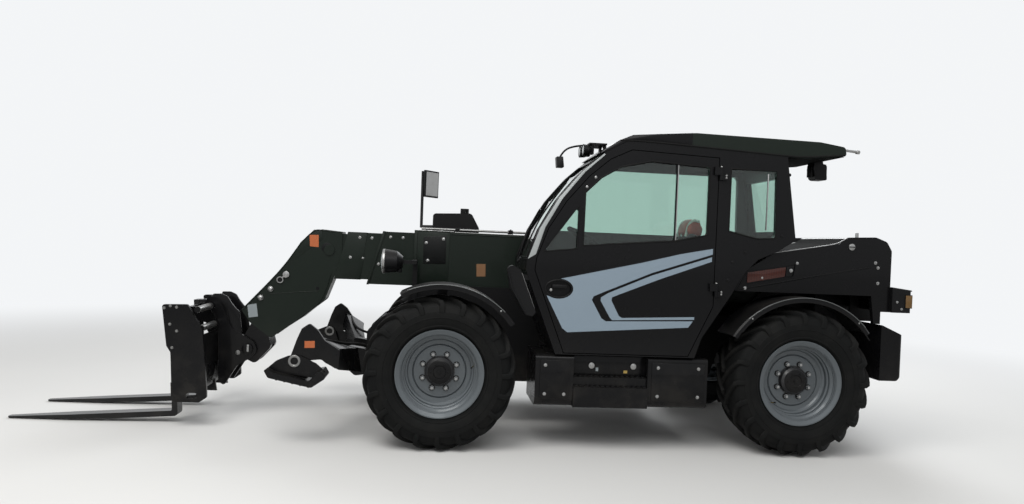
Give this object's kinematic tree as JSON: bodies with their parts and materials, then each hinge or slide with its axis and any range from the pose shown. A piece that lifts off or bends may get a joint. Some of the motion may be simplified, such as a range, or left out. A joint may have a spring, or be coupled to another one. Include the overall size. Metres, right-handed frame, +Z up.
{
  "type": "telehandler",
  "caption": "Telehandler with a black body, dark olive telescopic boom, fork carriage, side cab, folded front stabilizers and all-wheel steering.",
  "frame": {"origin": "On the ground, in the middle of the overall length from fork tips to counterweight and on the middle plane.", "axes": "X points forward along the boom, Y to the operator's left, Z up."},
  "size_m": [7.1724, 2.344, 2.4848],
  "materials": {
    "black_paint": "gloss black paint",
    "olive_paint": "satin olive green-grey paint",
    "dark_frame": "satin black chassis paint",
    "silver_rim": "silver-grey wheel paint",
    "black_hub": "black hub paint",
    "tyre_rubber": "black tyre rubber, dusty",
    "steel": "bare ground steel",
    "chromed_rod": "hard chromed rod",
    "glass_tint": "light green tinted glass",
    "cab_trim": "dark grey cab trim",
    "seat_cloth": "dark woven seat cloth",
    "fender_plastic": "black fender plastic",
    "black_plastic": "black moulded plastic",
    "lamp_glass": "clear lamp lens and chromed reflector",
    "engine_iron": "grey painted iron"
  },
  "bodies": {
    "chassis": {"chassis_frame": "dark_frame", "counterweight": "black_paint", "front_axle": "dark_frame", "rear_axle": "dark_frame", "cab_floor": "dark_frame", "cab_front_frame": "black_paint", "cab_rear_frame": "black_paint", "cab_side_frames": "black_paint", "cab_roof": "olive_paint", "cab_glass": "glass_tint", "seat": "seat_cloth", "steering_column": "cab_trim", "dashboard": "cab_trim", "left_steps": "black_paint", "fuel_tank": "black_paint", "engine_bay": "black_paint", "engine_block": "engine_iron", "rear_side_panels": "black_paint", "headlamps": "black_plastic", "rear_lamps": "black_plastic", "roof_lamps": "black_plastic", "mirrors": "black_plastic", "air_cleaner": "black_plastic"},
    "steer_front_left": {"knuckle_front_left": "dark_frame", "fender_front_left": "fender_plastic"},
    "wheel_front_left": {"tyre_front_left": "tyre_rubber", "rim_front_left": "silver_rim"},
    "steer_front_right": {"knuckle_front_right": "dark_frame", "fender_front_right": "fender_plastic"},
    "wheel_front_right": {"tyre_front_right": "tyre_rubber", "rim_front_right": "silver_rim"},
    "steer_rear_left": {"knuckle_rear_left": "dark_frame", "fender_rear_left": "fender_plastic"},
    "wheel_rear_left": {"tyre_rear_left": "tyre_rubber", "rim_rear_left": "silver_rim"},
    "steer_rear_right": {"knuckle_rear_right": "dark_frame", "fender_rear_right": "fender_plastic"},
    "wheel_rear_right": {"tyre_rear_right": "tyre_rubber", "rim_rear_right": "silver_rim"},
    "rod_front": {"steering_rod_front": "chromed_rod"},
    "rod_rear": {"steering_rod_rear": "chromed_rod"},
    "door": {"door_frame": "black_paint", "door_glass": "glass_tint"},
    "hood": {"engine_hood": "black_paint"},
    "boom": {"boom_outer": "olive_paint"},
    "telescope_second": {"boom_second": "olive_paint"},
    "telescope_third": {"boom_third": "olive_paint"},
    "telescope_head": {"boom_head": "olive_paint", "tilt_bracket": "black_paint"},
    "carriage": {"tool_carrier": "black_paint", "fork_carriage": "black_paint", "forks": "steel"},
    "lift_barrel": {"lift_cylinder_barrel": "black_paint"},
    "lift_rod": {"lift_cylinder_rod": "chromed_rod"},
    "leg_left": {"stabilizer_leg_left": "black_paint"},
    "leg_right": {"stabilizer_leg_right": "black_paint"},
    "pad_left": {"stabilizer_pad_left": "black_paint"},
    "pad_right": {"stabilizer_pad_right": "black_paint"}
  },
  "joints": [
    {"name": "steer_front_left_joint", "type": "hinge", "parent": "chassis", "child": "steer_front_left", "pos_m": [0.16382, 0.78, 0.58], "axis": [0, 0, 1], "range_deg": [-38, 38]},
    {"name": "spin_front_left_joint", "type": "hinge", "parent": "steer_front_left", "child": "wheel_front_left", "pos_m": [0.16382, 0.97, 0.58], "axis": [0, 1, 0], "continuous": true},
    {"name": "steer_front_right_joint", "type": "hinge", "parent": "chassis", "child": "steer_front_right", "pos_m": [0.16382, -0.78, 0.58], "axis": [0, 0, 1], "range_deg": [-38, 38]},
    {"name": "spin_front_right_joint", "type": "hinge", "parent": "steer_front_right", "child": "wheel_front_right", "pos_m": [0.16382, -0.97, 0.58], "axis": [0, 1, 0], "continuous": true},
    {"name": "steer_rear_left_joint", "type": "hinge", "parent": "chassis", "child": "steer_rear_left", "pos_m": [-2.63618, 0.78, 0.58], "axis": [0, 0, 1], "range_deg": [-38, 38]},
    {"name": "spin_rear_left_joint", "type": "hinge", "parent": "steer_rear_left", "child": "wheel_rear_left", "pos_m": [-2.63618, 0.97, 0.58], "axis": [0, 1, 0], "continuous": true},
    {"name": "steer_rear_right_joint", "type": "hinge", "parent": "chassis", "child": "steer_rear_right", "pos_m": [-2.63618, -0.78, 0.58], "axis": [0, 0, 1], "range_deg": [-38, 38]},
    {"name": "spin_rear_right_joint", "type": "hinge", "parent": "steer_rear_right", "child": "wheel_rear_right", "pos_m": [-2.63618, -0.97, 0.58], "axis": [0, 1, 0], "continuous": true},
    {"name": "rod_front_joint", "type": "slide", "parent": "chassis", "child": "rod_front", "axis": [0, 1, 0], "range_m": [-0.111, 0.111]},
    {"name": "rod_rear_joint", "type": "slide", "parent": "chassis", "child": "rod_rear", "axis": [0, 1, 0], "range_m": [-0.111, 0.111]},
    {"name": "door_joint", "type": "hinge", "parent": "chassis", "child": "door", "pos_m": [-1.93818, 1.09, 1.5], "axis": [0, 0, 1], "range_deg": [0, 90]},
    {"name": "hood_joint", "type": "hinge", "parent": "chassis", "child": "hood", "pos_m": [-1.23618, -0.262, 1.575], "axis": [-1, 0, 0], "range_deg": [0, 55]},
    {"name": "boom_lift_joint", "type": "hinge", "parent": "chassis", "child": "boom", "pos_m": [-3.28618, 0, 1.55], "axis": [0, -1, 0], "range_deg": [0, 68]},
    {"name": "telescope_joint", "type": "slide", "parent": "boom", "child": "telescope_second", "axis": [1, 0, 0], "range_m": [0, 2.37]},
    {"name": "telescope_third_joint", "type": "slide", "parent": "telescope_second", "child": "telescope_third", "axis": [1, 0, 0], "range_m": [0, 2.37]},
    {"name": "telescope_head_joint", "type": "slide", "parent": "telescope_third", "child": "telescope_head", "axis": [1, 0, 0], "range_m": [0, 2.37]},
    {"name": "carriage_tilt_joint", "type": "hinge", "parent": "telescope_head", "child": "carriage", "pos_m": [1.78382, 0, 0.585], "axis": [0, -1, 0], "range_deg": [-105, 20]},
    {"name": "lift_barrel_joint", "type": "hinge", "parent": "chassis", "child": "lift_barrel", "pos_m": [-3.13618, 0, 0.7], "axis": [0, -1, 0], "range_deg": [0, 52.5]},
    {"name": "lift_rod_joint", "type": "slide", "parent": "lift_barrel", "child": "lift_rod", "axis": [0.9729, 0, 0.2311], "range_m": [0, 0.847]},
    {"name": "leg_left_joint", "type": "hinge", "parent": "chassis", "child": "leg_left", "pos_m": [0.56382, 0.278, 0.5], "axis": [0, 1, 0], "range_deg": [0, 38]},
    {"name": "pad_left_joint", "type": "hinge", "parent": "leg_left", "child": "pad_left", "pos_m": [1.24582, 0.955, 0.625], "axis": [0, -1, 0], "range_deg": [-5, 40]},
    {"name": "leg_right_joint", "type": "hinge", "parent": "chassis", "child": "leg_right", "pos_m": [0.56382, -0.278, 0.5], "axis": [0, 1, 0], "range_deg": [0, 38]},
    {"name": "pad_right_joint", "type": "hinge", "parent": "leg_right", "child": "pad_right", "pos_m": [1.24582, -0.955, 0.625], "axis": [0, -1, 0], "range_deg": [-5, 40]}
  ],
  "couplings": [
    {"joint": "steer_front_right_joint", "follows": "steer_front_left_joint", "ratio": 1},
    {"joint": "steer_rear_right_joint", "follows": "steer_rear_left_joint", "ratio": 1},
    {"joint": "rod_front_joint", "follows": "steer_front_left_joint", "m_per_rad": 0.1671},
    {"joint": "rod_rear_joint", "follows": "steer_rear_left_joint", "m_per_rad": -0.1671},
    {"joint": "telescope_third_joint", "follows": "telescope_joint", "ratio": 1},
    {"joint": "telescope_head_joint", "follows": "telescope_joint", "ratio": 1},
    {"joint": "lift_barrel_joint", "follows": "boom_lift_joint", "ratio": 0.772},
    {"joint": "lift_rod_joint", "follows": "boom_lift_joint", "m_per_rad": 0.7136}
  ]
}
